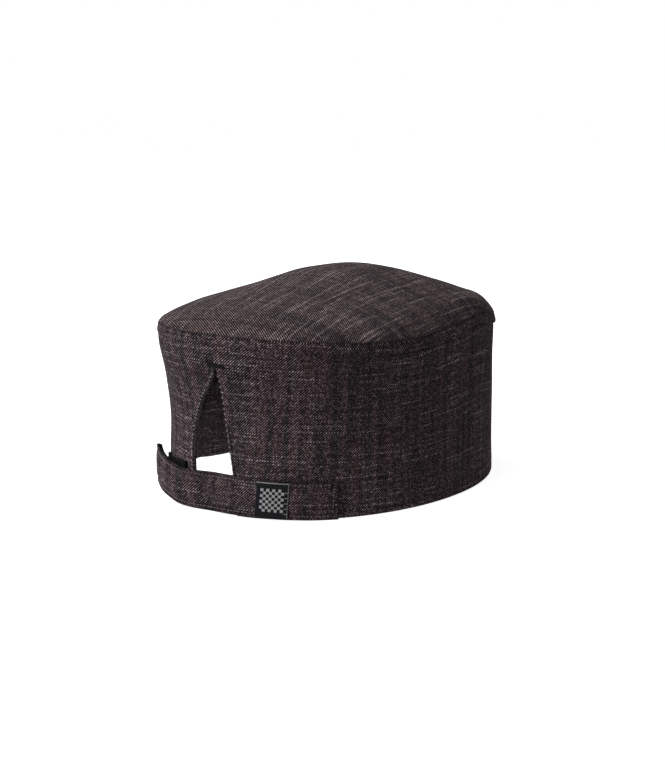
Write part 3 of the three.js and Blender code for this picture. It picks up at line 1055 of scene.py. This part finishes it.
def camera():
    data = bpy.data.cameras.new("camera")
    data.lens, data.sensor_width = CAMERA_LENS, CAMERA_SENSOR
    data.clip_start, data.clip_end = 0.05, 60
    eye = put_in_scene(bpy.data.objects.new("camera", data))
    eye.location = CAMERA_PLACE
    eye.rotation_euler = (math.radians(90 - CAMERA_DOWN), 0, math.radians(CAMERA_ROUND))
    bpy.context.scene.camera = eye


def suns():
    """A broad soft key from the left of the camera, and one from the upper left."""
    for name, strength, spread, towards in SUNS:
        sun = bpy.data.lights.new(name, "SUN")
        sun.energy, sun.angle = strength, math.radians(spread)
        lamp = put_in_scene(bpy.data.objects.new(name, sun))
        lamp.rotation_euler = Vector(towards).to_track_quat("Z", "Y").to_euler()


def lamp_under_crown():
    """A faint lamp that lights the inside, which shows through the slit."""
    spot = bpy.data.lights.new("under_crown", "SPOT")
    spot.energy, spot.shadow_soft_size = LAMP_STRENGTH, LAMP_SIZE
    spot.spot_size, spot.spot_blend = math.radians(LAMP_CONE), 0.6
    inside = put_in_scene(bpy.data.objects.new("under_crown", spot))
    inside.location = LAMP_PLACE
    inside.visible_camera = False


def surround():
    """An even white world, brighter to the camera than as a light."""
    world = bpy.data.worlds.new("surround")
    world.use_nodes = True
    nodes, links = world.node_tree.nodes, world.node_tree.links
    seen, lit = nodes["Background"], nodes.new("ShaderNodeBackground")
    for background, strength in ((seen, SURROUND_SEEN), (lit, SURROUND_LIGHT)):
        background.inputs["Color"].default_value = (1, 1, 1, 1)
        background.inputs["Strength"].default_value = strength
    path, mix = nodes.new("ShaderNodeLightPath"), nodes.new("ShaderNodeMixShader")
    links.new(path.outputs["Is Camera Ray"], mix.inputs[0])
    links.new(lit.outputs[0], mix.inputs[1])
    links.new(seen.outputs[0], mix.inputs[2])
    links.new(mix.outputs[0], nodes["World Output"].inputs["Surface"])
    bpy.context.scene.world = world


def floor():
    """A wide white sheet that shows itself a little bright and throws no light back on the cap."""
    half = FLOOR_HALF
    mesh = bpy.data.meshes.new("floor")
    corners = [(-half, -half, 0), (half, -half, 0), (half, half, 0), (-half, half, 0)]
    mesh.from_pydata(corners, [], [(0, 1, 2, 3)])
    g = Graph("floor_paper")
    g.shader.inputs["Emission Color"].default_value = (1, 1, 1, 1)
    g.shader.inputs["Emission Strength"].default_value = FLOOR_GLOW
    mesh.materials.append(g.finish((0.8, 0.8, 0.8), 0.9))
    ground = put_in_scene(bpy.data.objects.new("floor", mesh))
    ground.visible_diffuse = False


def ride(piece, slot, *nodes):
    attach(piece, "root")
    if nodes:
        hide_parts(*nodes)
    return piece


camera()
suns()
lamp_under_crown()
surround()
floor()
bpy.context.scene.view_settings.view_transform = "Standard"
bpy.context.scene.cycles.denoising_prefilter = "NONE"

plum, blue = (0.024, 0.0070, 0.0083), (0.0085, 0.0063, 0.0100)
wall_twill = twill("twill", plum, blue, (0.240, 0.197, 0.211), seed=1.0)
# The strap's ends and sides are darker: painted shade of its folds, partly darker warp dye
strap_twill = twill(
    "strap_twill", plum, blue, (0.222, 0.182, 0.195), seed=6.0, streaks=0.3, streak_width=6.0,
    hem=((STRAP_LEFT + STRAP_RIGHT) / 2, STRAP_WIDTH / 2),
)
crown_twill = twill(
    "crown_twill", (0.023, 0.0092, 0.0095), (0.012, 0.0080, 0.0098), (0.242, 0.200, 0.206), seed=40.0,
    warp_pitch=CROWN_WARP_PITCH, weft_pitch=CROWN_WEFT_PITCH,
    flecks=1.25, slubs=0.595, slub_length=40.0, slub_flecks=0.5, slub_shine=2.3,
)
# Each thread gets a dark and a light copy of its colour, for the painted light and shade along its twist
seam_shade_thread = twisted_thread("seam_shade_thread", (0.02, 0.016, 0.018), (0.08, 0.068, 0.072))
dark_thread = twisted_thread("dark_thread", (0.004, 0.0035, 0.0045), (0.014, 0.012, 0.014))
grey_thread = twisted_thread("grey_thread", (0.08, 0.07, 0.073), (0.28, 0.25, 0.26))
light_thread = twisted_thread("light_thread", (0.24, 0.21, 0.21), (0.60, 0.55, 0.55))

wall, *wall_grids = wall_cloth(wall_twill)
ride(wall, "cloth", "side_band")
crown = ride(crown_cloth(crown_twill), "cloth", "crown_top")
strap = ride(strap_cloth(strap_twill), "cloth", "strap")
label = ride(label_cloth(label_weave()), "label", "label")
hook = ride(hook_tape_cloth(pile_tape("hook_rows", 0.5)), "tape", "hook_tape")
patch = ride(loop_patch_cloth(pile_tape("loop_pile", 0.35)), "tape", "loop_patch")
on_strap = ride(strap_stitches(grey_thread), "cloth")
on_label = ride(label_stitches(light_thread), "cloth")
on_seam = ride(seam_stitches(grey_thread), "cloth")
# The thread in the seam stands in for painted shade in the seam's ditch
in_ditch = ride(ditch_stitches(seam_shade_thread), "cloth")
on_slit = ride(slit_stitches(*wall_grids, light_thread), "cloth")
overcast = ride(slit_overcast(*wall_grids, grey_thread), "cloth")
tack = ride(bar_tack(dark_thread), "cloth")
